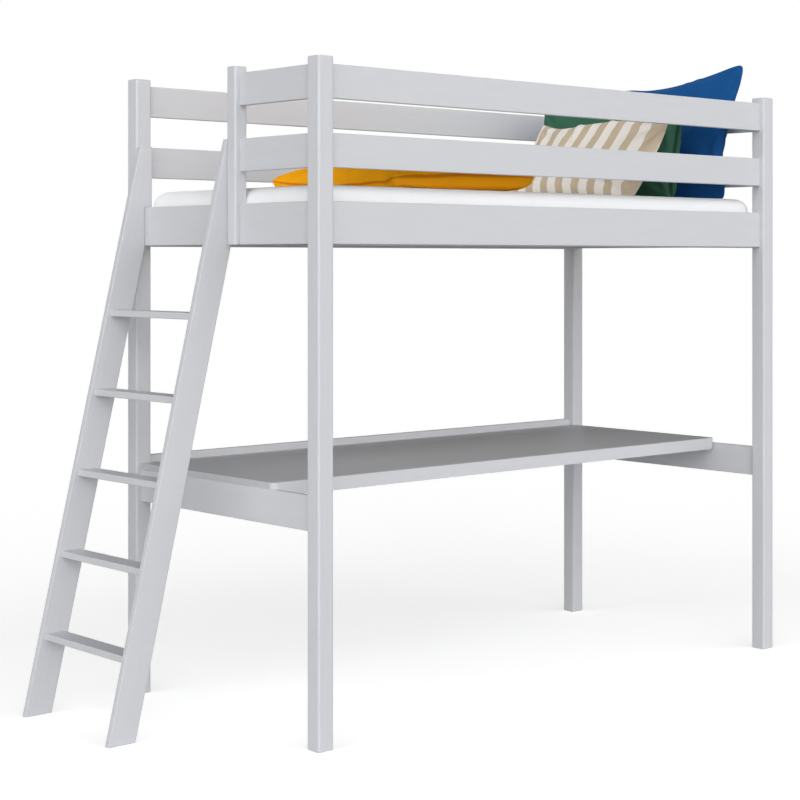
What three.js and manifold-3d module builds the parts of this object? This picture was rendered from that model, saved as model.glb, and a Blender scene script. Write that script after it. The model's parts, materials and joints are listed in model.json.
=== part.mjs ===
// Loft bed with a desk underneath, a fixed sloping ladder, a mattress and four loose pillows.
// Millimetres, +Z up. Every size below is measured from the foot of the front left post's outer
// corner: X runs along the bed towards the head end, Y runs from the front to the wall side.
// The exported group moves that corner so that the origin is on the floor, under the middle.
import * as THREE from 'three';
import * as BufferGeometryUtils from 'three/addons/utils/BufferGeometryUtils.js';
import Module from 'manifold-3d';

const wasm = await Module();
wasm.setup();

// ---- driving dimensions ----
const LENGTH = 2100;             // over the corner posts
const WIDTH = 1010;
const HEIGHT = 2000;
const POST = 56;                 // square section of a corner post
const POST_RADIUS = 7;
const EASE = 2;                  // at the ends of posts and round the stiles
const BOARD = 20;                // thickness of rails, guards and the desk panel
const BOARD_RADIUS = 3;
const CLEARANCE = 0.3;           // round a piece that sits in a cut or a hole

const GUARD_HEIGHT = 100;
const TOP_GUARD = 1880;          // underside of the top guard boards
const LOWER_GUARD = 1680;
const BED_RAIL = 1458;           // underside of the rails that carry the bed
const BED_RAIL_HEIGHT = 125;

const SUPPORT_BOTTOM = 1455;     // slat supports hang a little below the rails
const SUPPORT_TOP = 1480;
const SLAT_COUNT = 12;
const SLAT_WIDTH = 70;
const SLAT_THICKNESS = 18;
const SLAT_MARGIN = 75;          // from the outer end of the bed to the first slat

const MATTRESS_LENGTH = 2000;
const MATTRESS_WIDTH = 896;
const MATTRESS_THICKNESS = 136;
const MATTRESS_CORNER = 45;
const MATTRESS_EDGE = 22;

// Pillows: width, height and thickness, and where the middle of the lower edge stands in plan.
// Leaning pillows stand across the bed, tipped towards the head end by a lean in degrees, and
// roll raises their front corner. The yellow one lies flat with its width along X.
const STRIPED = { size: [650, 306, 96], at: [1506, 452], lean: 34, roll: -2 };
const GREEN = { size: [700, 370, 120], at: [1746, 517], lean: 9, roll: 0 };
const BLUE = { size: [800, 458, 108], at: [2000, 455], lean: 0, roll: 2 };
const YELLOW = { size: [610, 620, 112], at: [698, 130] };
const PILLOW_RIM = 6;            // half the thickness left at the seam
const PILLOW_PULL = 0.05;        // how far the sides pull in between the corners

const ENTRY_POST = 45;           // square section of the short post beside the ladder
const ENTRY_POST_Y = 408;

const STILE_THICKNESS = 22;
const STILE_WIDTH = 92;          // measured level, along X
const STILE_TOP = 1780;
const LADDER_REACH = 414;        // how far the feet stand out from the bed
const LADDER_TOP_SETBACK = 2;
const TREAD_COUNT = 5;
const TREAD_RISE = 250.5;
const TREAD_DEPTH = 68;
const TREAD_THICKNESS = 21;
const TREAD_SETBACK = 10;

const DESK_TOP = 750;
const DESK_FRONT = 242;
const DESK_LEFT = 20;
const DESK_RIGHT = 2060;
const DESK_CORNER = 18;
const DESK_EDGE_HEIGHT = 41;
const DESK_RAIL_BOTTOM = 626;
const DESK_BACK_BOTTOM = 675;
const DESK_BACK_TOP = 774;
const CLEAT_HEIGHT = 30;

const BOLT_RADIUS = 4;
const RAIL_BOLT_LENGTH = 80;
const RAIL_BOLT_IN_POST = 30;
const SIDE_BOLT_HEIGHT = 1495;   // long sides; the ends are higher, so the bolts miss each other
const END_BOLT_HEIGHT = 1545;
const LADDER_BOLT_LENGTH = 46;
const LADDER_BOLT_INSET = 6;     // from the stile's open face
const LADDER_BOLT_HEIGHT = 1700;
const LADDER_BOLT_X = 24;

// ---- sizes that follow from them ----
const INSET = (POST - BOARD) / 2;                    // boards sit in the middle of the posts
const RIGHT_POST = LENGTH - POST;
const BACK_POST = WIDTH - POST;
const FRONT_Y = [INSET, INSET + BOARD];
const BACK_Y = [WIDTH - INSET - BOARD, WIDTH - INSET];
const LEFT_X = [INSET, INSET + BOARD];
const RIGHT_X = [LENGTH - INSET - BOARD, LENGTH - INSET];
const BETWEEN_POSTS_X = [POST, RIGHT_POST];
const BETWEEN_POSTS_Y = [POST, BACK_POST];
const RAIL_TOP = BED_RAIL + BED_RAIL_HEIGHT;
const MATTRESS_BOTTOM = SUPPORT_TOP + SLAT_THICKNESS;
const MATTRESS_TOP = MATTRESS_BOTTOM + MATTRESS_THICKNESS;
const NEAR_STILE_Y = ENTRY_POST_Y + ENTRY_POST;
const FAR_STILE_Y = BACK_POST - STILE_THICKNESS;
const STILE_SLOPE = (LADDER_REACH + LADDER_TOP_SETBACK) / STILE_TOP;
const DESK_UNDERSIDE = DESK_TOP - BOARD;

// ---- materials ----
function finish(color, roughness, metalness = 0) {
  return new THREE.MeshStandardMaterial({ color, roughness, metalness });
}
const materials = {
  paint: () => finish(0xd6d7da, 0.5),
  slatWood: () => finish(0xd9c6a0, 0.7),
  steel: () => finish(0xa8abb0, 0.35, 1),
  mattress: () => finish(0xf2f2f4, 0.9),
  yellow: () => finish(0xe8a01c, 0.85),
  striped: () => finish(0xd6ccb8, 0.9),
  green: () => finish(0x2f5d45, 0.85),
  blue: () => finish(0x164b8e, 0.85),
};

const bed = new THREE.Group();
bed.position.set(-(LENGTH - LADDER_REACH) / 2, -WIDTH / 2, 0);

function place(name, geometry, material, parent = bed) {
  const mesh = new THREE.Mesh(geometry, material());
  mesh.name = name;
  parent.add(mesh);
  return mesh;
}

// ---- shapes ----
// A rectangle from (x0, y0) to (x1, y1) with a radius at each corner: low-low, high-low,
// high-high, low-high. A radius of 0 leaves that corner square.
function roundedRectangle(x0, y0, x1, y1, radii) {
  const [a, b, c, d] = radii;
  const shape = new THREE.Shape();
  shape.moveTo(x0 + a, y0);
  shape.lineTo(x1 - b, y0);
  if (b > 0) shape.absarc(x1 - b, y0 + b, b, -Math.PI / 2, 0, false);
  shape.lineTo(x1, y1 - c);
  if (c > 0) shape.absarc(x1 - c, y1 - c, c, 0, Math.PI / 2, false);
  shape.lineTo(x0 + d, y1);
  if (d > 0) shape.absarc(x0 + d, y1 - d, d, Math.PI / 2, Math.PI, false);
  shape.lineTo(x0, y0 + a);
  if (a > 0) shape.absarc(x0 + a, y0 + a, a, Math.PI, 1.5 * Math.PI, false);
  return shape;
}

function evenRadii(radius) {
  return [radius, radius, radius, radius];
}

function extrude(shape, depth, curveSegments = 3) {
  return new THREE.ExtrudeGeometry(shape, { depth, bevelEnabled: false, curveSegments });
}

// An extrusion runs along +Z. These turn it to run along X or Y; the outline's two axes then lie
// along Y and Z for an X run, and along Z and X for a Y run.
const RUN = {
  x: new THREE.Matrix4().makeBasis(
    new THREE.Vector3(0, 1, 0), new THREE.Vector3(0, 0, 1), new THREE.Vector3(1, 0, 0)),
  y: new THREE.Matrix4().makeBasis(
    new THREE.Vector3(0, 0, 1), new THREE.Vector3(1, 0, 0), new THREE.Vector3(0, 1, 0)),
};

function boardAlongX([x0, x1], [y0, y1], [z0, z1], radius = BOARD_RADIUS) {
  const section = roundedRectangle(y0, z0, y1, z1, evenRadii(radius));
  return extrude(section, x1 - x0, 2).applyMatrix4(RUN.x).translate(x0, 0, 0);
}

function boardAlongY([x0, x1], [y0, y1], [z0, z1], radius = BOARD_RADIUS) {
  const section = roundedRectangle(z0, x0, z1, x1, evenRadii(radius));
  return extrude(section, y1 - y0, 2).applyMatrix4(RUN.y).translate(0, y0, 0);
}

// A post with rounded long edges and eased ends.
function post(x, y, size, z0, z1) {
  const low = EASE;
  const high = size - EASE;
  const section = roundedRectangle(x + low, y + low, x + high, y + high,
    evenRadii(POST_RADIUS - EASE));
  const geometry = new THREE.ExtrudeGeometry(section, {
    depth: z1 - z0 - 2 * EASE,
    bevelEnabled: true,
    bevelThickness: EASE,
    bevelSize: EASE,
    bevelSegments: 1,
    curveSegments: 3,
  });
  return geometry.translate(0, 0, z0 + EASE);
}

function block([x0, x1], [y0, y1], [z0, z1]) {
  const geometry = new THREE.BoxGeometry(x1 - x0, y1 - y0, z1 - z0);
  return geometry.translate((x0 + x1) / 2, (y0 + y1) / 2, (z0 + z1) / 2);
}

// A round bar from a point, along +X or +Y.
function roundBar(from, axis, length, radius) {
  const bar = new THREE.CylinderGeometry(radius, radius, length, 12);
  if (axis === 'x') bar.rotateZ(-Math.PI / 2);
  const middle = new THREE.Vector3(...from);
  middle[axis] += length / 2;
  return bar.translate(middle.x, middle.y, middle.z);
}

// ---- cutting ----
function toSolid(geometry) {
  const bare = geometry.clone();
  bare.deleteAttribute('normal');
  bare.deleteAttribute('uv');
  const merged = BufferGeometryUtils.mergeVertices(bare, 1e-4);
  return new wasm.Manifold(new wasm.Mesh({
    numProp: 3,
    vertProperties: new Float32Array(merged.attributes.position.array),
    triVerts: new Uint32Array(merged.index.array),
  }));
}

function toGeometry(solid) {
  const { vertProperties, triVerts } = solid.getMesh();
  const geometry = new THREE.BufferGeometry();
  geometry.setAttribute('position', new THREE.BufferAttribute(vertProperties, 3));
  geometry.setIndex(new THREE.BufferAttribute(triVerts, 1));
  return geometry;
}

function cut(geometry, tools) {
  const whole = toSolid(geometry);
  const rest = tools.map(toSolid).reduce((left, tool) => left.subtract(tool), whole);
  return toGeometry(rest);
}

// ---- bolts: where each one lies, so that its hole can be cut in both pieces it joins ----
const LOW_START = POST - RAIL_BOLT_IN_POST;
const RIGHT_START = RIGHT_POST + RAIL_BOLT_IN_POST - RAIL_BOLT_LENGTH;
const BACK_START = BACK_POST + RAIL_BOLT_IN_POST - RAIL_BOLT_LENGTH;
const MIDDLE = POST / 2;

const bolts = {
  rail_bolt_front_left: { from: [LOW_START, MIDDLE, SIDE_BOLT_HEIGHT], axis: 'x' },
  rail_bolt_front_right: { from: [RIGHT_START, MIDDLE, SIDE_BOLT_HEIGHT], axis: 'x' },
  rail_bolt_back_left: { from: [LOW_START, WIDTH - MIDDLE, SIDE_BOLT_HEIGHT], axis: 'x' },
  rail_bolt_back_right: { from: [RIGHT_START, WIDTH - MIDDLE, SIDE_BOLT_HEIGHT], axis: 'x' },
  rail_bolt_left_front: { from: [MIDDLE, LOW_START, END_BOLT_HEIGHT], axis: 'y' },
  rail_bolt_left_back: { from: [MIDDLE, BACK_START, END_BOLT_HEIGHT], axis: 'y' },
  rail_bolt_right_front: { from: [LENGTH - MIDDLE, LOW_START, END_BOLT_HEIGHT], axis: 'y' },
  rail_bolt_right_back: { from: [LENGTH - MIDDLE, BACK_START, END_BOLT_HEIGHT], axis: 'y' },
};
for (const bolt of Object.values(bolts)) bolt.length = RAIL_BOLT_LENGTH;

bolts.ladder_bolt_near = {
  from: [
    LADDER_BOLT_X,
    NEAR_STILE_Y + STILE_THICKNESS - LADDER_BOLT_INSET - LADDER_BOLT_LENGTH,
    LADDER_BOLT_HEIGHT,
  ],
  axis: 'y',
  length: LADDER_BOLT_LENGTH,
};
bolts.ladder_bolt_far = {
  from: [LADDER_BOLT_X, FAR_STILE_Y + LADDER_BOLT_INSET, LADDER_BOLT_HEIGHT],
  axis: 'y',
  length: LADDER_BOLT_LENGTH,
};

function boltHole(name) {
  const { from, axis, length } = bolts[name];
  const start = [...from];
  start['xyz'.indexOf(axis)] -= CLEARANCE;
  return roundBar(start, axis, length + 2 * CLEARANCE, BOLT_RADIUS + CLEARANCE);
}

function drilled(geometry, ...names) {
  return cut(geometry, names.map(boltHole));
}

function addBolts() {
  for (const [name, { from, axis, length }] of Object.entries(bolts)) {
    place(name, roundBar(from, axis, length, BOLT_RADIUS), materials.steel);
  }
}

// ---- posts ----
function addCornerPosts() {
  place('post_front_left', drilled(post(0, 0, POST, 0, HEIGHT),
    'rail_bolt_front_left', 'rail_bolt_left_front'), materials.paint);
  place('post_front_right', drilled(post(RIGHT_POST, 0, POST, 0, HEIGHT),
    'rail_bolt_front_right', 'rail_bolt_right_front'), materials.paint);
  place('post_back_left', drilled(post(0, BACK_POST, POST, 0, HEIGHT),
    'rail_bolt_back_left', 'rail_bolt_left_back', 'ladder_bolt_far'), materials.paint);
  place('post_back_right', drilled(post(RIGHT_POST, BACK_POST, POST, 0, HEIGHT),
    'rail_bolt_back_right', 'rail_bolt_right_back'), materials.paint);
}

// The short post straddles the end rail with a forked foot.
function addEntryPost() {
  const body = post(0, ENTRY_POST_Y, ENTRY_POST, BED_RAIL, HEIGHT);
  const fork = block(
    [LEFT_X[0] - CLEARANCE, LEFT_X[1] + CLEARANCE],
    [ENTRY_POST_Y - 1, ENTRY_POST_Y + ENTRY_POST + 1],
    [BED_RAIL - 1, RAIL_TOP + CLEARANCE]);
  place('entry_post', cut(body, [fork, boltHole('ladder_bolt_near')]), materials.paint);
}

// ---- rails and guard boards ----
function addRails() {
  const z = [BED_RAIL, RAIL_TOP];
  place('front_bed_rail', drilled(boardAlongX(BETWEEN_POSTS_X, FRONT_Y, z),
    'rail_bolt_front_left', 'rail_bolt_front_right'), materials.paint);
  place('back_bed_rail', drilled(boardAlongX(BETWEEN_POSTS_X, BACK_Y, z),
    'rail_bolt_back_left', 'rail_bolt_back_right'), materials.paint);
  place('left_end_rail', drilled(boardAlongY(LEFT_X, BETWEEN_POSTS_Y, z),
    'rail_bolt_left_front', 'rail_bolt_left_back'), materials.paint);
  place('right_end_rail', drilled(boardAlongY(RIGHT_X, BETWEEN_POSTS_Y, z),
    'rail_bolt_right_front', 'rail_bolt_right_back'), materials.paint);
}

function addGuards() {
  for (const [level, bottom] of [['top', TOP_GUARD], ['lower', LOWER_GUARD]]) {
    const z = [bottom, bottom + GUARD_HEIGHT];
    place(`front_guard_${level}`, boardAlongX(BETWEEN_POSTS_X, FRONT_Y, z), materials.paint);
    place(`back_guard_${level}`, boardAlongX(BETWEEN_POSTS_X, BACK_Y, z), materials.paint);
    place(`right_guard_${level}`, boardAlongY(RIGHT_X, BETWEEN_POSTS_Y, z), materials.paint);
    place(`left_guard_${level}`, boardAlongY(LEFT_X, [POST, ENTRY_POST_Y], z), materials.paint);
  }
}

// ---- slatted base ----
function addSlats() {
  const z = [SUPPORT_BOTTOM, SUPPORT_TOP];
  place('slat_support_front',
    boardAlongX(BETWEEN_POSTS_X, [FRONT_Y[1], FRONT_Y[1] + BOARD], z, 2), materials.paint);
  place('slat_support_back',
    boardAlongX(BETWEEN_POSTS_X, [BACK_Y[0] - BOARD, BACK_Y[0]], z, 2), materials.paint);
  const pitch = (LENGTH - 2 * SLAT_MARGIN - SLAT_WIDTH) / (SLAT_COUNT - 1);
  for (let i = 0; i < SLAT_COUNT; i += 1) {
    const x = SLAT_MARGIN + i * pitch;
    place(`slat_${i + 1}`, boardAlongY([x, x + SLAT_WIDTH], [FRONT_Y[1], BACK_Y[0]],
      [SUPPORT_TOP, SUPPORT_TOP + SLAT_THICKNESS], 2), materials.slatWood);
  }
}

// ---- ladder ----
function ladderFace(z) {
  return -LADDER_REACH + STILE_SLOPE * z;
}

// Side view of a stile: it slopes up from a flat foot, stands against the end rail, hooks over
// the rail's top edge and ends level.
function stileOutline() {
  const inner = ENTRY_POST;
  const rail = LEFT_X[0] - CLEARANCE;
  const meetsRail = (rail + LADDER_REACH - STILE_WIDTH) / STILE_SLOPE;
  const outline = new THREE.Shape();
  outline.moveTo(ladderFace(0), 0);
  outline.lineTo(ladderFace(0) + STILE_WIDTH, 0);
  outline.lineTo(rail, meetsRail);
  outline.lineTo(rail, RAIL_TOP + CLEARANCE);
  outline.lineTo(inner, RAIL_TOP + CLEARANCE);
  outline.lineTo(inner, STILE_TOP);
  outline.lineTo(ladderFace(STILE_TOP), STILE_TOP);
  outline.closePath();
  return outline;
}

// The outline is drawn in X and Z, so the extrusion is turned to run along Y.
function stile(y) {
  const geometry = new THREE.ExtrudeGeometry(stileOutline(), {
    depth: STILE_THICKNESS - 2 * EASE,
    bevelEnabled: true,
    bevelThickness: EASE,
    bevelSize: EASE,
    bevelOffset: -EASE,
    bevelSegments: 1,
  });
  return geometry.rotateX(Math.PI / 2).translate(0, y + STILE_THICKNESS - EASE, 0);
}

function addLadder() {
  place('ladder_stile_near', drilled(stile(NEAR_STILE_Y), 'ladder_bolt_near'), materials.paint);
  place('ladder_stile_far', drilled(stile(FAR_STILE_Y), 'ladder_bolt_far'), materials.paint);
  for (let i = 1; i <= TREAD_COUNT; i += 1) {
    const top = i * TREAD_RISE;
    const x = ladderFace(top) + TREAD_SETBACK;
    place(`ladder_tread_${i}`, boardAlongY([x, x + TREAD_DEPTH],
      [NEAR_STILE_Y + STILE_THICKNESS, FAR_STILE_Y], [top - TREAD_THICKNESS, top]),
    materials.paint);
  }
}

// ---- desk ----
function addDeskRails() {
  const z = [DESK_RAIL_BOTTOM, DESK_UNDERSIDE];
  place('desk_left_rail', boardAlongY(LEFT_X, BETWEEN_POSTS_Y, z), materials.paint);
  place('desk_right_rail', boardAlongY(RIGHT_X, BETWEEN_POSTS_Y, z), materials.paint);
  place('desk_back_rail', boardAlongX(BETWEEN_POSTS_X, BACK_Y, [DESK_BACK_BOTTOM, DESK_BACK_TOP]),
    materials.paint);
  place('desk_right_cleat', boardAlongY([RIGHT_X[0] - BOARD, RIGHT_X[0]],
    [DESK_FRONT + BOARD, BACK_POST], [DESK_UNDERSIDE - CLEAT_HEIGHT, DESK_UNDERSIDE], 2),
  materials.paint);
}

// The panel lies on the left rail and on the cleat, and its back corners clear the posts.
function addDeskPanel() {
  const left = POST + CLEARANCE;
  const right = RIGHT_POST - CLEARANCE;
  const back = BACK_POST - CLEARANCE;
  const panel = new THREE.Shape();
  panel.moveTo(DESK_LEFT, DESK_FRONT + BOARD);
  panel.lineTo(DESK_RIGHT, DESK_FRONT + BOARD);
  panel.lineTo(DESK_RIGHT, back);
  panel.lineTo(right, back);
  panel.lineTo(right, BACK_Y[0]);
  panel.lineTo(left, BACK_Y[0]);
  panel.lineTo(left, back);
  panel.lineTo(DESK_LEFT, back);
  panel.closePath();
  place('desk_top', extrude(panel, BOARD).translate(0, 0, DESK_UNDERSIDE), materials.paint);
}

// The front strip is deeper than the panel. It stops against the left rail below the panel.
function addDeskFrontEdge() {
  const plan = roundedRectangle(DESK_LEFT, DESK_FRONT, DESK_RIGHT, DESK_FRONT + BOARD,
    [DESK_CORNER, DESK_CORNER, 0, 0]);
  const bottom = DESK_TOP - DESK_EDGE_HEIGHT;
  const strip = extrude(plan, DESK_EDGE_HEIGHT, 5).translate(0, 0, bottom);
  const railSpace = block(
    [DESK_LEFT - 1, LEFT_X[1] + CLEARANCE],
    [DESK_FRONT - 1, DESK_FRONT + BOARD + 1],
    [bottom - 1, DESK_UNDERSIDE]);
  place('desk_front_edge', cut(strip, [railSpace]), materials.paint);
}

// ---- mattress and pillows ----
function addMattress() {
  const x = (LENGTH - MATTRESS_LENGTH) / 2 + MATTRESS_EDGE;
  const y = (WIDTH - MATTRESS_WIDTH) / 2 + MATTRESS_EDGE;
  const plan = roundedRectangle(x, y, LENGTH - x, WIDTH - y,
    evenRadii(MATTRESS_CORNER - MATTRESS_EDGE));
  const geometry = new THREE.ExtrudeGeometry(plan, {
    depth: MATTRESS_THICKNESS - 2 * MATTRESS_EDGE,
    bevelEnabled: true,
    bevelThickness: MATTRESS_EDGE,
    bevelSize: MATTRESS_EDGE,
    bevelSegments: 3,
    curveSegments: 4,
  });
  place('mattress', geometry.translate(0, 0, MATTRESS_BOTTOM + MATTRESS_EDGE),
    materials.mattress);
}

// A pillow stands on its lower edge at the origin: X is its width, Y its height and Z its
// thickness. Its sides pull in between the corners and it is fullest in the middle.
function pillowGeometry(width, height, thickness) {
  const geometry = new THREE.BoxGeometry(2, 2, 2, 8, 8, 1);
  const position = geometry.attributes.position;
  for (let i = 0; i < position.count; i += 1) {
    const s = position.getX(i);
    const t = position.getY(i);
    const fill = Math.sqrt((1 - s ** 4) * (1 - t ** 4));
    const half = PILLOW_RIM + (thickness / 2 - PILLOW_RIM) * fill;
    position.setXYZ(i,
      (s * width * (1 - PILLOW_PULL * (1 - t * t))) / 2,
      (height * (1 + t * (1 - PILLOW_PULL * (1 - s * s)))) / 2,
      position.getZ(i) * half);
  }
  return geometry;
}

// How far a standing pillow's lower edge is lifted, so that its lower corner clears the mattress.
function pillowLift(width, roll) {
  return PILLOW_RIM + 2 + (width / 2) * Math.sin(THREE.MathUtils.degToRad(Math.abs(roll)));
}

function addLeaningPillow(name, { size, at, lean, roll }, material) {
  const angle = THREE.MathUtils.degToRad(lean);
  const stand = new THREE.Group();
  const across = new THREE.Vector3(0, 1, 0);
  const up = new THREE.Vector3(Math.sin(angle), 0, Math.cos(angle));
  const through = new THREE.Vector3(Math.cos(angle), 0, -Math.sin(angle));
  const turn = new THREE.Matrix4().makeBasis(across, up, through);
  turn.multiply(new THREE.Matrix4().makeRotationZ(-THREE.MathUtils.degToRad(roll)));
  stand.quaternion.setFromRotationMatrix(turn);
  stand.position.set(at[0], at[1], MATTRESS_TOP + pillowLift(size[0], roll));
  bed.add(stand);
  place(name, pillowGeometry(...size), material, stand);
}

function addLyingPillow(name, { size, at }, material) {
  const lying = new THREE.Group();
  lying.position.set(at[0], at[1], MATTRESS_TOP + size[2] / 2 + 1);
  bed.add(lying);
  place(name, pillowGeometry(...size), material, lying);
}

addCornerPosts();
addEntryPost();
addRails();
addGuards();
addBolts();
addSlats();
addLadder();
addDeskRails();
addDeskPanel();
addDeskFrontEdge();
addMattress();
addLeaningPillow('pillow_striped', STRIPED, materials.striped);
addLeaningPillow('pillow_green', GREEN, materials.green);
addLeaningPillow('pillow_blue', BLUE, materials.blue);
addLyingPillow('pillow_yellow', YELLOW, materials.yellow);

export default bed;
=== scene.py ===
import json
import math

import bmesh
import bpy
import numpy as np
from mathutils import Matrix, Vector


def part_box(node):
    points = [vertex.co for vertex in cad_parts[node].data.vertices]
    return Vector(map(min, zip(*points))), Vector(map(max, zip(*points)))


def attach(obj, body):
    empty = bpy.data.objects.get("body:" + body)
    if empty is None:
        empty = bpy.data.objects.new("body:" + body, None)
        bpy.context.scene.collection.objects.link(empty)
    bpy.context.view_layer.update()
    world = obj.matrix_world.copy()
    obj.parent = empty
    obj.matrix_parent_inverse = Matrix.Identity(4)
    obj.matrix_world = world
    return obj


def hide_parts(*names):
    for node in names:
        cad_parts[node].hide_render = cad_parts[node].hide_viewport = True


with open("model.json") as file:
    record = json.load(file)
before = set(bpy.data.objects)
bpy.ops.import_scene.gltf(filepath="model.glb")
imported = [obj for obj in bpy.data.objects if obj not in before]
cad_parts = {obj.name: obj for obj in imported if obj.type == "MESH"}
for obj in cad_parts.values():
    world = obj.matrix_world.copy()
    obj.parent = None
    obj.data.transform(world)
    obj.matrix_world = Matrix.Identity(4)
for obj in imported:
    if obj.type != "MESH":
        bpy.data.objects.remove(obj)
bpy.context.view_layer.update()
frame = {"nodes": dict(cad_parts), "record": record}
NODES = frame["nodes"]

# ---- camera: level, at eye height, off the ladder-end corner ----
CAMERA_PLACE = (-4.0619, -4.6017, 1.4138)
CAMERA_TURN = -42.556            # degrees about Z, from looking along +Y
CAMERA_LENS = 81.73
CAMERA_SHIFT = (-0.0730, -0.1758)

# ---- light: large soft panels, a white room seen only by the camera, and a bright floor ----
ROOM_LIGHT = 0.05
PANEL_SPREAD = 100               # degrees
PANELS = {                       # towards the panel, and its brightness on a white card
    "panel_front": ((0.10, -1.00, 0.10), 0.93),
    "panel_left": ((-1.00, -0.40, 0.10), 1.16),
    "panel_back": ((0.20, 1.00, 0.30), 0.04),
}
FLOOR_GLOW = 0.60                # keeps the floor white to the camera without lighting the bed


def build_camera():
    data = bpy.data.cameras.new("camera")
    data.lens = CAMERA_LENS
    data.shift_x, data.shift_y = CAMERA_SHIFT
    data.clip_end = 100
    camera = bpy.data.objects.new("camera", data)
    camera.location = CAMERA_PLACE
    camera.rotation_euler = (math.radians(90), 0, math.radians(CAMERA_TURN))
    bpy.context.scene.collection.objects.link(camera)
    bpy.context.scene.camera = camera


def build_room():
    """White behind the object, but only a little light from it."""
    world = bpy.data.worlds.new("studio")
    world.use_nodes = True
    tree = world.node_tree
    background = tree.nodes["Background"]
    background.inputs["Color"].default_value = (1, 1, 1, 1)
    seen = add_node(tree, "ShaderNodeLightPath").outputs["Is Camera Ray"]
    strength = math_node(tree, "MAXIMUM", seen, ROOM_LIGHT)
    tree.links.new(strength, background.inputs["Strength"])
    bpy.context.scene.world = world


def build_light():
    """Broad soft light from the front and from the ladder end, hardly any from behind."""
    scene = bpy.context.scene
    scene.view_settings.view_transform = "Standard"
    build_room()
    for name, (towards, brightness) in PANELS.items():
        data = bpy.data.lights.new(name, "SUN")
        data.energy = brightness * math.pi
        data.angle = math.radians(PANEL_SPREAD)
        panel = bpy.data.objects.new(name, data)
        panel.rotation_euler = Vector(towards).to_track_quat("Z", "Y").to_euler()
        scene.collection.objects.link(panel)


# ---- node helpers ----
def add_node(tree, kind, inputs=None, **settings):
    """A shader or geometry node. An input's value is a socket to link, or a constant."""
    node = tree.nodes.new(kind)
    for name, value in settings.items():
        setattr(node, name, value)
    for name, value in (inputs or {}).items():
        if isinstance(value, bpy.types.NodeSocket):
            tree.links.new(value, node.inputs[name])
        else:
            node.inputs[name].default_value = value
    return node


def new_material(name):
    """An empty node material and its shader."""
    material = bpy.data.materials.new(name)
    material.use_nodes = True
    tree = material.node_tree
    return material, tree, tree.nodes["Principled BSDF"]


def mix_colors(tree, factor, low, high):
    """low where factor is 0, high where it is 1, as a colour socket."""
    mix = add_node(tree, "ShaderNodeMix", data_type="RGBA")
    for socket, value in ((mix.inputs[0], factor), (mix.inputs[6], low), (mix.inputs[7], high)):
        if isinstance(value, bpy.types.NodeSocket):
            tree.links.new(value, socket)
        else:
            socket.default_value = value
    return mix.outputs[2]


def math_node(tree, operation, a, b=0.0, c=0.0):
    node = add_node(tree, "ShaderNodeMath", operation=operation)
    for socket, value in zip(node.inputs, (a, b, c)):
        if isinstance(value, bpy.types.NodeSocket):
            tree.links.new(value, socket)
        else:
            socket.default_value = value
    return node.outputs[0]


# ---- wood ----
LADDER_RUN = 0.416               # how far the ladder's stiles stand out, and how high they climb
LADDER_RISE = 1.780
LADDER_LEAN = math.atan2(LADDER_RUN, LADDER_RISE)
# Turns the frame's axes so that a board's length lies along the texture's Z.
GRAIN_TURN = {
    "x": (0, math.radians(-90), 0),
    "y": (math.radians(90), 0, 0),
    "z": (0, 0, 0),
    "slope": (0, -LADDER_LEAN, 0),
}
PAINT = (0.60, 0.612, 0.64, 1)
PAINT_SHADE = (0.575, 0.587, 0.615, 1)
DESK_PAINTED_SHADE = 0.82                # painted shade: the desk's top is darker all over, for the shade under the bed
PINE_LIGHT = (0.72, 0.52, 0.31, 1)
PINE_DARK = (0.50, 0.29, 0.13, 1)
BOARD_SHIFT = (7.3, 3.1, 11.7)   # metres that the grain moves by, at most, from board to board
FIBRE_SCALE = (260, 260, 7)      # across, across and along the grain
RING_SCALE = (9, 9, 0.9)
RING_TURNS = 60.0
SHARP_ANGLE = 50                 # degrees between faces, above which an edge is shaded sharp


def grain_fields(tree, run):
    """Two 0 to 1 fields for a board along an axis: fine fibres, and broad growth rings."""
    place = add_node(tree, "ShaderNodeTexCoord").outputs["Object"]
    turned = add_node(
        tree, "ShaderNodeVectorRotate",
        {"Vector": place, "Rotation": GRAIN_TURN[run]}, rotation_type="EULER_XYZ",
    ).outputs[0]
    chance = add_node(tree, "ShaderNodeObjectInfo").outputs["Random"]
    shift = add_node(tree, "ShaderNodeCombineXYZ", {
        axis: math_node(tree, "MULTIPLY", chance, most) for axis, most in zip("XYZ", BOARD_SHIFT)
    }).outputs[0]
    moved = add_node(
        tree, "ShaderNodeVectorMath", {0: turned, 1: shift}, operation="ADD").outputs[0]
    fibre_place = add_node(
        tree, "ShaderNodeVectorMath", {0: moved, 1: FIBRE_SCALE}, operation="MULTIPLY").outputs[0]
    fibres = add_node(
        tree, "ShaderNodeTexNoise", {"Vector": fibre_place, "Scale": 1.0, "Detail": 4.0})
    ring_place = add_node(
        tree, "ShaderNodeVectorMath", {0: moved, 1: RING_SCALE}, operation="MULTIPLY").outputs[0]
    swell = add_node(
        tree, "ShaderNodeTexNoise", {"Vector": ring_place, "Scale": 1.0, "Detail": 2.0})
    waves = math_node(tree, "MULTIPLY", swell.outputs["Fac"], RING_TURNS)
    rings = math_node(tree, "MULTIPLY_ADD", math_node(tree, "SINE", waves), 0.5, 0.5)
    return fibres.outputs["Fac"], rings


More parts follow.
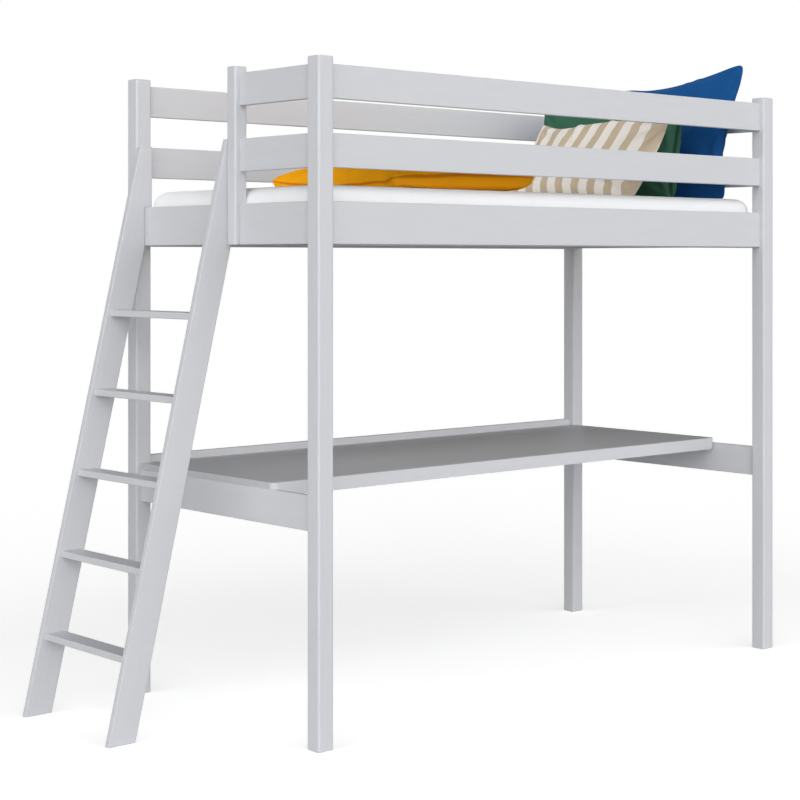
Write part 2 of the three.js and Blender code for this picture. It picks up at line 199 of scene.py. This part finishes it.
def painted_wood(run, name="painted_wood", painted_shade_factor=1.0):
    """Satin paint through which the grain shows faintly; a factor under 1 darkens it all over as
    painted shade.
    """
    material, tree, shader = new_material(f"{name}_{run}")
    fibres, rings = grain_fields(tree, run)
    tone = math_node(tree, "MULTIPLY_ADD", fibres, 0.7, math_node(tree, "MULTIPLY", rings, 0.3))
    low, high = ([*(painted_shade_factor * part for part in color[:3]), 1] for color in (PAINT_SHADE, PAINT))
    color = mix_colors(tree, tone, low, high)
    tree.links.new(color, shader.inputs["Base Color"])
    rough = math_node(tree, "MULTIPLY_ADD", fibres, 0.12, 0.42)
    tree.links.new(rough, shader.inputs["Roughness"])
    bump = add_node(
        tree, "ShaderNodeBump", {"Height": tone, "Strength": 0.16, "Distance": 0.001})
    tree.links.new(bump.outputs[0], shader.inputs["Normal"])
    shader.inputs["Specular IOR Level"].default_value = 0.35
    return material


def raw_pine():
    """Bare pine slats, which all run along Y."""
    material, tree, shader = new_material("raw_pine")
    fibres, rings = grain_fields(tree, "y")
    tone = math_node(tree, "MULTIPLY_ADD", rings, 0.55, math_node(tree, "MULTIPLY", fibres, 0.45))
    color = mix_colors(tree, tone, PINE_DARK, PINE_LIGHT)
    tree.links.new(color, shader.inputs["Base Color"])
    shader.inputs["Roughness"].default_value = 0.65
    bump = add_node(
        tree, "ShaderNodeBump", {"Height": fibres, "Strength": 0.25, "Distance": 0.001})
    tree.links.new(bump.outputs[0], shader.inputs["Normal"])
    return material


def zinc_steel():
    """Dull plated bolts."""
    material, tree, shader = new_material("zinc_steel")
    place = add_node(tree, "ShaderNodeTexCoord").outputs["Object"]
    grain = add_node(tree, "ShaderNodeTexNoise", {"Vector": place, "Scale": 900.0, "Detail": 3.0})
    color = mix_colors(tree, grain.outputs["Fac"], (0.50, 0.51, 0.53, 1), (0.64, 0.65, 0.67, 1))
    tree.links.new(color, shader.inputs["Base Color"])
    shader.inputs["Metallic"].default_value = 1.0
    tree.links.new(
        math_node(tree, "MULTIPLY_ADD", grain.outputs["Fac"], 0.2, 0.25),
        shader.inputs["Roughness"])
    return material


def smooth_edges_group():
    """Joins the faceted CAD mesh's corners and shades its rounded edges smoothly."""
    group = bpy.data.node_groups.new("smooth_edges", "GeometryNodeTree")
    for way in ("INPUT", "OUTPUT"):
        group.interface.new_socket("Geometry", in_out=way, socket_type="NodeSocketGeometry")
    start = add_node(group, "NodeGroupInput").outputs[0]
    joined = add_node(
        group, "GeometryNodeMergeByDistance", {"Geometry": start, "Distance": 0.00003}).outputs[0]
    bare = add_node(
        group, "GeometryNodeRemoveAttribute", {"Geometry": joined, "Name": "custom_normal"}
    ).outputs[0]
    smooth = add_node(
        group, "GeometryNodeSetShadeSmooth", {"Geometry": bare, "Shade Smooth": True},
        domain="FACE").outputs[0]
    angle = add_node(group, "GeometryNodeInputMeshEdgeAngle").outputs["Unsigned Angle"]
    sharp = add_node(
        group, "FunctionNodeCompare", {"A": angle, "B": math.radians(SHARP_ANGLE)},
        operation="GREATER_THAN").outputs[0]
    creased = add_node(
        group, "GeometryNodeSetShadeSmooth",
        {"Geometry": smooth, "Selection": sharp, "Shade Smooth": False}, domain="EDGE").outputs[0]
    add_node(group, "NodeGroupOutput", {"Geometry": creased})
    return group


def run_of(name):
    """The axis that a wooden node is longest along; the stiles slope."""
    if name.startswith("ladder_stile"):
        return "slope"
    low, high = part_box(name)
    size = high - low
    return "xyz"[max(range(3), key=lambda axis: size[axis])]


def finish_cad_nodes():
    """Gives the wooden and steel nodes their materials and smooth rounded edges."""
    slots = {s["node"]: s["material_slot"] for s in frame["record"]["subparts"]}
    painted = {run: painted_wood(run) for run in GRAIN_TURN}
    # the desk's top takes a darker copy of the paint: painted shade for the shade under the bed
    desk_top = painted_wood(run_of("desk_top"), "painted_desk_shade", DESK_PAINTED_SHADE)
    pine = raw_pine()
    steel = zinc_steel()
    smooth = smooth_edges_group()
    for name, node in NODES.items():
        slot = slots[name]
        if name == "desk_top":
            material = desk_top
        elif slot == "painted_wood":
            material = painted[run_of(name)]
        elif slot == "slat_wood":
            material = pine
        elif slot == "bolt_steel":
            material = steel
        else:
            continue
        node.data.materials.clear()
        node.data.materials.append(material)
        shading = node.modifiers.new("smooth_edges", "NODES")
        shading.node_group = smooth
        weights = node.modifiers.new("flat_faces", "WEIGHTED_NORMAL")
        weights.keep_sharp = True


# ---- soft goods ----
# A pillow's cover is two layers sewn together along their edges. size is its width, height and
# thickness once stuffed. pull is how far its sides and its top draw in between the corners, ears
# how much of that pull is missing at its lower and its upper corners, flare how suddenly its
# sides widen towards the upper ones, and ease how far its corners are rounded off. crown and full
# are how sharply it thins towards its seams, before and after it is stuffed, and behind is how
# much thicker its far half is. lean (towards the head end) and roll are in degrees, skew is how
# far its upper corners sit towards the wall side, and drop how far its lower corners hang.
PILLOWS = {
    "pillow_yellow": dict(size=(0.610, 0.620, 0.114), pull=(0.05, 0.05), ears=(1.0, 1.0),
                          flare=3.0, ease=0.015, crown=0.45, full=0.8, fill=0.55,
                          slot="yellow_fabric"),
    "pillow_striped": dict(size=(0.644, 0.306, 0.096), pull=(0.01, 0.00), ears=(1.0, 1.0),
                           flare=2.0, ease=0.015, crown=0.6, full=1.0, fill=0.6, lean=34,
                           roll=-2.5, skew=0.013, drop=0.012, slot="striped_fabric"),
    "pillow_green": dict(size=(0.684, 0.352, 0.100), pull=(0.06, 0.05), ears=(1.0, 1.0),
                         flare=2.0, ease=0.03, crown=0.45, full=0.5, behind=1.3, fill=0.6,
                         lean=9, roll=0, skew=0.010, drop=0.012, slot="green_fabric"),
    "pillow_blue": dict(size=(0.820, 0.456, 0.108), pull=(0.275, 0.20), ears=(0.05, 1.0),
                        flare=1.3, ease=0.08, crown=0.6, full=1.3, fill=0.6, lean=0, roll=2,
                        drop=0.040, slot="blue_fabric"),
}
# Long soft folds: where their middle is (shares of half the width and height), the direction in
# degrees, then half length, width and depth.
FOLDS = {
    "pillow_yellow": ((-0.35, -0.55, 20, 0.10, 0.010, 0.003),
                      (0.25, -0.72, -15, 0.09, 0.010, 0.003),
                      (0.60, -0.45, 60, 0.08, 0.012, 0.004), (-0.75, 0.10, 80, 0.09, 0.012, 0.003)),
    "pillow_striped": ((-0.80, -0.55, 35, 0.08, 0.009, 0.005),
                       (-0.62, -0.78, 10, 0.09, 0.008, 0.005),
                       (-0.88, -0.85, -35, 0.04, 0.006, 0.004),
                       (-0.30, -0.60, -20, 0.08, 0.012, 0.003),
                       (0.35, 0.55, 70, 0.08, 0.014, 0.003)),
    "pillow_green": ((-0.86, 0.15, 75, 0.07, 0.010, 0.004), (-0.70, -0.60, 30, 0.08, 0.011, 0.004)),
    "pillow_blue": ((-0.66, -0.22, -30, 0.05, 0.007, 0.005), (-0.62, 0.60, -50, 0.10, 0.013, 0.005),
                    (0.10, 0.72, 15, 0.12, 0.014, 0.005), (-0.35, 0.35, -70, 0.09, 0.014, 0.004)),
}
# Where a top edge stands higher or lower: place, reach (shares of half the width) and rise.
TOP_EDGE = {
    "pillow_striped": ((-0.25, 0.50, 0.019), (0.60, 0.26, -0.011), (-0.17, 0.035, 0.006),
                       (0.31, 0.040, 0.005), (1.00, 0.14, 0.012)),
    "pillow_blue": ((-0.48, 0.04, 0.004), (-0.36, 0.03, 0.003), (0.30, 0.10, 0.006)),
    "pillow_green": ((0.30, 0.08, 0.004),),
}
PUCKER_DEPTH = 0.0016            # small gathers along the seams
PUCKER_PITCH = 0.034
PUCKER_REACH = 0.022
CORNER_FOLD = 0.0035             # folds that fan out from the corners
CORNER_REACH = 0.060
MATTRESS_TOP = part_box("mattress")[1][2]
MATTRESS_CELL = 0.022
MATTRESS_SWELL = 0.005           # how far its cover may swell
MATTRESS_SPARE = 0.009           # how far its cover stands proud of the solid at each end
MATTRESS_ROUNDING = (0.052, 0.045, 0.052)
MATTRESS_FRAMES = 14             # how long its cover settles, in frames
CLOTH_CELL = 0.011
CUT = 1.10                       # how much larger the flat cloth is than the stuffed pillow
STUFFING = 1.12                  # how much the stuffing swells the crowned layers
SIM_FRAMES = 36                  # how long a pillow settles, in frames
SEAM_HEIGHT = 0.010              # keeps the seams straight where a cover is filled out
FLARE_START = 0.50               # how far below the middle a pillow's sides begin to flare
LOWER_PULL = 0.2                 # the share of the pull that a lower edge shows
SAG = 0.35                       # how much fuller a standing pillow is near its lower edge
REST_SOFTNESS = 0.004            # how softly cloth flattens against the mattress
LYING_CROWN = 1.2                # how much a lying pillow's upper half is drawn up
LYING_BELLY = 0.35               # the power that fills out its lower half
LYING_SINK = 0.005               # how far it sinks all over
FOOT_END_SINK = 0.017            # how much further at the corners of its foot end
FOOT_END_BOW = 0.021             # and further still in the middle of that end
FOOT_END_TILT = 0.005            # less than that towards the wall side, and more towards the front


def sew_pillow(name, size, pull, ears, flare, ease, crown):
    """Two crowned layers that share their border, with the flat cut as a second shape key."""
    width, height, thickness = size
    columns = round(width / CLOTH_CELL)
    rows = round(height / CLOTH_CELL)
    points, flat, edge, index = [], [], [], {}

    def key(i, j, side):
        on_border = i in (0, columns) or j in (0, rows)
        return (i, j, 0 if on_border else side)

    for side in (1, -1):
        for j in range(rows + 1):
            for i in range(columns + 1):
                if key(i, j, side) in index:
                    continue
                s = 2 * i / columns - 1
                t = 2 * j / rows - 1
                rise = max(0.0, (t + FLARE_START) / (1 + FLARE_START))
                tuck = 1 - ears[1] * rise ** flare - (ears[0] * t ** 8 if t < 0 else 0)
                lift = (1 - s * s) * (1 if t > 0 else LOWER_PULL)
                height_here = ((1 - s * s) * (1 - t * t)) ** crown
                blunt = 1 - ease * (s * t) ** 10
                ripple = 0.002 * math.sin(9 * s + 4 * t + side) + 0.001 * math.sin(17 * t - 5 * s)
                index[key(i, j, side)] = len(points)
                points.append((
                    width / 2 * s * (1 - pull[0] * tuck) * blunt,
                    height / 2 * t * (1 - pull[1] * lift) * blunt,
                    height_here * (key(i, j, side)[2] * thickness / 2 + ripple),
                ))
                flat.append((
                    width / 2 * CUT * s * blunt, height / 2 * CUT * t * blunt, side * 0.001))
                edge.append(min(width / 2 * (1 - abs(s)), height / 2 * (1 - abs(t))))
    faces, layout = [], []
    for side in (1, -1):
        for j in range(rows):
            for i in range(columns):
                corners = [(i, j), (i + 1, j), (i + 1, j + 1), (i, j + 1)][::side]
                faces.append([index[key(a, b, side)] for a, b in corners])
                layout += [(a / columns * width, b / rows * height) for a, b in corners]
    mesh = bpy.data.meshes.new(name)
    mesh.from_pydata(points, [], faces)
    mesh.uv_layers.new(name="cloth").data.foreach_set("uv", np.ravel(layout))
    mesh.attributes.new("from_seam", "FLOAT", "POINT").data.foreach_set("value", edge)
    cover = bpy.data.objects.new(name, mesh)
    bpy.context.scene.collection.objects.link(cover)
    cover.shape_key_add(name="crowned")
    cover.shape_key_add(name="cut").data.foreach_set("co", np.ravel(flat))
    return cover


def volume_of(mesh):
    form = bmesh.new()
    form.from_mesh(mesh)
    volume = form.calc_volume()
    form.free()
    return volume


def points_of(mesh):
    points = np.empty(len(mesh.vertices) * 3)
    mesh.vertices.foreach_get("co", points)
    return points.reshape(-1, 3)


def run_cloth(piece, stiffness, pressure, volume_gain, frames, rest_shape=None, finer=1):
    """Lets the cloth settle around its filling, then keeps that shape as a plain mesh."""
    cloth = piece.modifiers.new("cloth", "CLOTH")
    settings = cloth.settings
    if rest_shape:
        settings.rest_shape_key = rest_shape
    settings.quality = 6
    settings.mass = 0.3
    settings.tension_stiffness = stiffness
    settings.compression_stiffness = stiffness
    settings.shear_stiffness = stiffness / 3
    settings.bending_stiffness = 0.02
    settings.use_pressure = True
    settings.uniform_pressure_force = 0
    settings.pressure_factor = pressure
    settings.use_pressure_volume = True
    settings.target_volume = volume_of(piece.data) * volume_gain
    settings.effector_weights.gravity = 0
    cloth.point_cache.frame_start = 1
    cloth.point_cache.frame_end = frames
    if finer:
        piece.modifiers.new("finer", "SUBSURF").levels = finer
    for step in range(1, frames + 1):
        bpy.context.scene.frame_set(step)
    evaluated = piece.evaluated_get(bpy.context.evaluated_depsgraph_get())
    settled = bpy.data.meshes.new_from_object(evaluated)
    piece.modifiers.clear()
    piece.shape_key_clear()
    piece.data = settled
    bpy.context.scene.frame_set(1)


def fit_to_size(points, size):
    """Takes up what the cloth drew in, so that the cover is as wide and as high as it should be."""
    for axis in (0, 1):
        low, high = points[:, axis].min(), points[:, axis].max()
        points[:, axis] = (points[:, axis] - (low + high) / 2) * size[axis] / (high - low)
    return points


def fill_out(z, power):
    """Raises the heights z towards their greatest one where power is under 1."""
    height = np.abs(z).max() + SEAM_HEIGHT
    return z * ((np.abs(z) + SEAM_HEIGHT) / height) ** (power - 1)


def crease(points, size, folds, full, behind, top_edge):
    """Fills the pillow out towards its seams, then adds gathers, corner folds and long folds."""
    x, y, z = points.T.copy()
    half_x, half_y = size[0] / 2, size[1] / 2
    z = fill_out(z, full) * np.where(z > 0, behind, 1)
    for s, reach, rise in top_edge:
        y += rise * np.exp(-((x / half_x - s) / reach) ** 2) * np.clip(y / half_y, 0, 1) ** 3
    side = np.tanh(z / 0.006)
    depth = np.zeros(len(points))
    for across, along, reach in ((x, y, half_x), (y, x, half_y)):
        inward = np.maximum(reach - np.abs(across), 0) / PUCKER_REACH
        turns = 2 * math.pi * along / PUCKER_PITCH + 4 * np.sin(23 * along + 2 * np.sign(across))
        strength = 0.5 + 0.5 * np.sin(29 * along + 3 * np.sin(11 * along) + np.sign(across))
        depth += PUCKER_DEPTH * strength * np.sin(turns) * inward * np.exp(1 - inward)
    for corner_x in (-half_x, half_x):
        for corner_y in (-half_y, half_y):
            off_x, off_y = np.abs(x - corner_x), np.abs(y - corner_y)
            away = np.hypot(off_x, off_y) / CORNER_REACH
            fan = np.sin(11 * np.arctan2(off_y, off_x) + 5 * corner_x + 9 * corner_y)
            depth += CORNER_FOLD * fan * away * np.exp(1 - away)
    for s, t, degrees, length, width, deep in folds:
        turn = math.radians(degrees)
        off_x, off_y = x - s * half_x, y - t * half_y
        run = off_x * math.cos(turn) + off_y * math.sin(turn)
        offset = off_y * math.cos(turn) - off_x * math.sin(turn) + 0.6 * run * run
        dent = np.exp(-(offset / width) ** 2) - 0.6 * np.exp(-((offset - 2 * width) / width) ** 2)
        depth -= deep * dent * np.exp(-(run / length) ** 2)
    return np.stack([x, y, z + side * depth], axis=1)


def stand_up(points, name, size, lean, roll, skew, drop):
    """Sags a pillow, leans it and stands it where its CAD solid stands."""
    height = size[1]
    across, up, through = points.T.copy()
    t = up / (height / 2)
    up -= drop * np.minimum(t, 0) ** 2
    across += skew * np.maximum(t, 0) ** 2
    through *= 1 - SAG * t * (1 - t * t)
    tilt = math.radians(roll)
    rolled_across = across * math.cos(tilt) + up * math.sin(tilt)
    rolled_up = up * math.cos(tilt) - across * math.sin(tilt)
    angle = math.radians(lean)
    placed = np.stack([
        rolled_up * math.sin(angle) + through * math.cos(angle),
        rolled_across,
        rolled_up * math.cos(angle) - through * math.sin(angle),
    ], axis=1)
    low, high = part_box(name)
    placed += np.array((low + high) / 2)
    placed[:, 2] += low[2] - drop - placed[:, 2].min()
    return placed


def lie_down(points, name):
    """Lays the pillow flat: full below, and lower along its foot-end side than at its corners."""
    low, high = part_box(name)
    size = high - low
    x, y, z = points.T.copy()
    z = np.where(z > 0, LYING_CROWN * z, fill_out(z, LYING_BELLY))
    placed = np.stack([x, y, z], axis=1) + np.array((low + high) / 2)
    along = np.clip((placed[:, 0] - low[0]) / size[0], 0, 1)
    across = 2 * np.clip((placed[:, 1] - low[1]) / size[1], 0, 1) - 1
    foot_end = (1 - along) ** 3
    bow = FOOT_END_SINK + FOOT_END_BOW * (1 - across ** 2) - FOOT_END_TILT * across
    placed[:, 2] -= LYING_SINK + foot_end * bow
    return placed


def rest_on_mattress(points):
    """Flattens what would sink into the mattress against its top."""
    top = MATTRESS_TOP + 0.001
    depth = (points[:, 2] - top) / REST_SOFTNESS
    points[:, 2] = top + REST_SOFTNESS * np.logaddexp(0, depth)
    return points


def build_pillow(name, size, pull, ears, flare, ease, crown, full, fill, slot, behind=1.0,
                 lean=None, roll=0, skew=0.0, drop=0.0):
    """A sewn and stuffed cover in place of the plain solid. One with no lean lies flat."""
    cover = sew_pillow(name + "_cover", size, pull, ears, flare, ease, crown)
    run_cloth(cover, stiffness=30, pressure=40, volume_gain=STUFFING, frames=SIM_FRAMES,
              rest_shape=cover.data.shape_keys.key_blocks["cut"])
    points = fit_to_size(points_of(cover.data), size)
    points = crease(points, size, FOLDS[name], full, behind, TOP_EDGE.get(name, ()))
    if lean is None:
        points = lie_down(points, name)
    else:
        points = stand_up(points, name, size, lean, roll, skew, drop)
    points = rest_on_mattress(points)
    cover.data.vertices.foreach_set("co", points.ravel())
    cover.data.materials.append(FABRICS[slot]())
    cover.data.polygons.foreach_set("use_smooth", [True] * len(cover.data.polygons))
    cover.data.update()
    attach(cover, name)
    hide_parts(name)


def rounded_block(low, high, radii, cell):
    """A closed box of even cells whose edges are rounded by a radius along each axis."""
    size = high - low
    counts = [max(2, round(side / cell)) for side in size]
    half = np.array(size) / 2
    radii = np.array(radii)
    core = half - radii
    points, index, faces = [], {}, []

    def corner(cell_place):
        if cell_place not in index:
            place = np.array([2 * half[k] * cell_place[k] / counts[k] - half[k] for k in range(3)])
            inner = np.clip(place, -core, core)
            outward = (place - inner) / radii
            index[cell_place] = len(points)
            points.append(inner + radii * outward / np.linalg.norm(outward))
        return index[cell_place]

    for axis in range(3):
        first, second = (axis + 1) % 3, (axis + 2) % 3
        for end in (0, counts[axis]):
            for a in range(counts[first]):
                for b in range(counts[second]):
                    ring = [(a, b), (a + 1, b), (a + 1, b + 1), (a, b + 1)]
                    face = []
                    for c, d in ring if end else ring[::-1]:
                        cell_place = [0, 0, 0]
                        cell_place[axis] = end
                        cell_place[first] = c
                        cell_place[second] = d
                        face.append(corner(tuple(cell_place)))
                    faces.append(face)
    middle = np.array(low + high) / 2
    return [tuple(point + middle) for point in points], faces


def build_mattress():
    """A soft block whose cover swells a little; its ends round off further than its sides."""
    low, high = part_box("mattress")
    spare = Vector((MATTRESS_SPARE, 0, 0))
    points, faces = rounded_block(low - spare, high + spare, MATTRESS_ROUNDING, MATTRESS_CELL)
    mesh = bpy.data.meshes.new("mattress_cover")
    mesh.from_pydata(points, [], faces)
    cover = bpy.data.objects.new("mattress_cover", mesh)
    bpy.context.scene.collection.objects.link(cover)
    start = points_of(mesh)
    run_cloth(cover, stiffness=40, pressure=60, volume_gain=1.03, frames=MATTRESS_FRAMES,
              finer=0)
    moved = points_of(cover.data) - start
    reach = np.linalg.norm(moved, axis=1, keepdims=True)
    moved *= np.minimum(1, MATTRESS_SWELL / np.maximum(reach, 1e-9))
    settled = start + moved
    settled[:, 2] = np.minimum(settled[:, 2], high[2])
    settled[:, 0] = np.clip(settled[:, 0], low[0] - MATTRESS_SPARE, high[0] + MATTRESS_SPARE)
    cover.data.vertices.foreach_set("co", settled.ravel())
    cover.data.polygons.foreach_set("use_smooth", [True] * len(cover.data.polygons))
    cover.data.materials.append(mattress_cover())
    cover.data.update()
    finer = cover.modifiers.new("finer", "SUBSURF")
    finer.levels = 1
    finer.render_levels = 1
    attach(cover, "mattress")
    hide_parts("mattress")


# ---- fabrics ----
def cloth_layout(tree):
    """The flat cloth's own two directions, in metres."""
    layout = add_node(tree, "ShaderNodeUVMap", uv_map="cloth").outputs[0]
    parts = add_node(tree, "ShaderNodeSeparateXYZ", {0: layout})
    return layout, parts.outputs[0], parts.outputs[1]


def thread_waves(tree, along, pitch):
    """Threads of one direction as a 0 to 1 wave."""
    turns = math_node(tree, "MULTIPLY", along, 2 * math.pi / pitch)
    return math_node(tree, "MULTIPLY_ADD", math_node(tree, "SINE", turns), 0.5, 0.5)


def slub_noise(tree, layout, across, along):
    """Uneven yarn: noise drawn out along one direction."""
    stretched = add_node(
        tree, "ShaderNodeVectorMath", {0: layout, 1: (across, along, 1)}, operation="MULTIPLY")
    noise = add_node(
        tree, "ShaderNodeTexNoise", {"Vector": stretched.outputs[0], "Scale": 1.0, "Detail": 3.0})
    return noise.outputs["Fac"]


def woven(name, color_of, pitch, bump, sheen, seam_shade_color, seam_shade_width=0.0050, tint=(1, 1, 1, 1)):
    """A woven fabric, darker along its seams as painted shade. color_of makes the colour from the
    tree and the cloth's layout.
    """
    material, tree, shader = new_material(name)
    layout, u, v = cloth_layout(tree)
    warp = thread_waves(tree, u, pitch)
    weft = thread_waves(tree, v, pitch)
    slubs = math_node(
        tree, "MULTIPLY_ADD", slub_noise(tree, layout, 900, 45), 0.5,
        math_node(tree, "MULTIPLY", slub_noise(tree, layout, 45, 900), 0.5))
    color = color_of(tree, layout, u, slubs)
    # painted shade: the colour darkens to the seam colour within a few millimetres of each seam
    from_seam = add_node(
        tree, "ShaderNodeAttribute", attribute_name="from_seam").outputs["Fac"]
    seam = add_node(tree, "ShaderNodeMapRange", {
        "Value": from_seam, "From Min": 0.3 * seam_shade_width, "From Max": seam_shade_width}).outputs[0]
    tree.links.new(mix_colors(tree, seam, seam_shade_color, color), shader.inputs["Base Color"])
    weave = math_node(tree, "MULTIPLY", warp, weft)
    height = math_node(tree, "MULTIPLY_ADD", weave, 0.5, slubs)
    relief = add_node(
        tree, "ShaderNodeBump", {"Height": height, "Strength": bump, "Distance": 0.0006})
    tree.links.new(relief.outputs[0], shader.inputs["Normal"])
    rough = math_node(tree, "MULTIPLY_ADD", slubs, 0.15, 0.78)
    tree.links.new(rough, shader.inputs["Roughness"])
    shader.inputs["Specular IOR Level"].default_value = 0.15
    shader.inputs["Sheen Weight"].default_value = sheen
    shader.inputs["Sheen Roughness"].default_value = 0.45
    shader.inputs["Sheen Tint"].default_value = tint
    return material


def plain_color(low, high):
    """One colour, a little uneven with the yarn."""
    def color_of(tree, layout, u, slubs):
        return mix_colors(tree, slubs, low, high)
    return color_of


STRIPE_PITCH = 0.0785
STRIPE_START = 0.114             # where the even stripes begin, from the near side seam
STRIPE_SHARE = 0.47              # the beige share of the pitch
HEM_STRIPE = (0.007, 0.070)      # the wide beige stripe beside the near side seam
CREAM = ((0.80, 0.76, 0.69, 1), (0.93, 0.90, 0.84, 1))
BEIGE = ((0.50, 0.41, 0.29, 1), (0.66, 0.55, 0.41, 1))


def stripe_color(tree, layout, u, slubs):
    """Beige stripes on cream, running up the pillow, a little uneven along their edges."""
    waver = math_node(tree, "MULTIPLY_ADD", slub_noise(tree, layout, 14, 40), 0.006, u)
    turns = math_node(
        tree, "MULTIPLY", math_node(tree, "SUBTRACT", waver, STRIPE_START), 1 / STRIPE_PITCH)
    phase = math_node(tree, "FRACT", turns)
    regular = math_node(
        tree, "MULTIPLY", math_node(tree, "LESS_THAN", phase, STRIPE_SHARE),
        math_node(tree, "GREATER_THAN", waver, STRIPE_START))
    hem = math_node(
        tree, "MULTIPLY", math_node(tree, "GREATER_THAN", waver, HEM_STRIPE[0]),
        math_node(tree, "LESS_THAN", waver, HEM_STRIPE[1]))
    stripe = math_node(tree, "MAXIMUM", regular, hem)
    return mix_colors(
        tree, stripe, mix_colors(tree, slubs, *CREAM), mix_colors(tree, slubs, *BEIGE))


# The colour after the sheen is each fabric's painted shade along its seams.
def yellow_fabric():
    colors = plain_color((0.98, 0.38, 0.002, 1), (1.00, 0.46, 0.004, 1))
    return woven("yellow_cotton", colors, 0.0014, 0.25, 0.8, (0.66, 0.20, 0.002, 1), 0.0024,
                 tint=(1.0, 0.45, 0.01, 1))


def striped_fabric():
    return woven("striped_linen", stripe_color, 0.0018, 0.45, 0.05, (0.62, 0.56, 0.46, 1))


def green_fabric():
    colors = plain_color((0.032, 0.112, 0.068, 1), (0.054, 0.168, 0.108, 1))
    return woven("green_cotton", colors, 0.0014, 0.3, 0.03, (0.016, 0.052, 0.032, 1))


def blue_fabric():
    colors = plain_color((0.004, 0.066, 0.225, 1), (0.010, 0.100, 0.315, 1))
    return woven("blue_cotton", colors, 0.0014, 0.25, 0.06, (0.003, 0.045, 0.17, 1))


FABRICS = {
    "yellow_fabric": yellow_fabric,
    "striped_fabric": striped_fabric,
    "green_fabric": green_fabric,
    "blue_fabric": blue_fabric,
}


def mattress_cover():
    """White knitted cover: fine ribs and a faint cloudiness."""
    material, tree, shader = new_material("mattress_knit")
    place = add_node(tree, "ShaderNodeTexCoord").outputs["Object"]
    parts = add_node(tree, "ShaderNodeSeparateXYZ", {0: place})
    slanted = math_node(tree, "ADD", parts.outputs[0], parts.outputs[2])
    ribs = thread_waves(tree, slanted, 0.0022)
    courses = thread_waves(tree, parts.outputs[1], 0.0022)
    clouds = add_node(tree, "ShaderNodeTexNoise", {"Vector": place, "Scale": 18.0, "Detail": 4.0})
    color = mix_colors(tree, clouds.outputs["Fac"], (0.82, 0.825, 0.84, 1), (0.87, 0.875, 0.89, 1))
    tree.links.new(color, shader.inputs["Base Color"])
    knit = math_node(tree, "MULTIPLY", ribs, courses)
    height = math_node(tree, "MULTIPLY_ADD", clouds.outputs["Fac"], 1.5, knit)
    relief = add_node(
        tree, "ShaderNodeBump", {"Height": height, "Strength": 0.2, "Distance": 0.0006})
    tree.links.new(relief.outputs[0], shader.inputs["Normal"])
    shader.inputs["Roughness"].default_value = 0.85
    shader.inputs["Specular IOR Level"].default_value = 0.2
    shader.inputs["Sheen Weight"].default_value = 0.25
    return material


FLOOR_REACH = 40
FLOOR_DROP = 0.0005              # below the feet


def build_floor():
    """A plain pale floor, white to the camera."""
    material, tree, shader = new_material("floor")
    place = add_node(tree, "ShaderNodeTexCoord").outputs["Object"]
    noise = add_node(tree, "ShaderNodeTexNoise", {"Vector": place, "Scale": 3.0})
    color = mix_colors(tree, noise.outputs["Fac"], (0.68, 0.68, 0.68, 1), (0.70, 0.70, 0.70, 1))
    tree.links.new(color, shader.inputs["Base Color"])
    seen = add_node(tree, "ShaderNodeLightPath").outputs["Is Camera Ray"]
    shader.inputs["Emission Color"].default_value = (1, 1, 1, 1)
    glow = math_node(tree, "MULTIPLY", seen, FLOOR_GLOW)
    tree.links.new(glow, shader.inputs["Emission Strength"])
    shader.inputs["Roughness"].default_value = 0.9
    shader.inputs["Specular IOR Level"].default_value = 0.1
    mesh = bpy.data.meshes.new("floor")
    corners = [(FLOOR_REACH * x, FLOOR_REACH * y, 0) for x, y in ((-1, -1), (1, -1), (1, 1), (-1, 1))]
    mesh.from_pydata(corners, [], [(0, 1, 2, 3)])
    mesh.materials.append(material)
    floor = bpy.data.objects.new("floor", mesh)
    floor.location.z = -FLOOR_DROP
    bpy.context.scene.collection.objects.link(floor)


build_camera()
build_light()
build_floor()
finish_cad_nodes()
build_mattress()
for name, pillow in PILLOWS.items():
    build_pillow(name, **pillow)
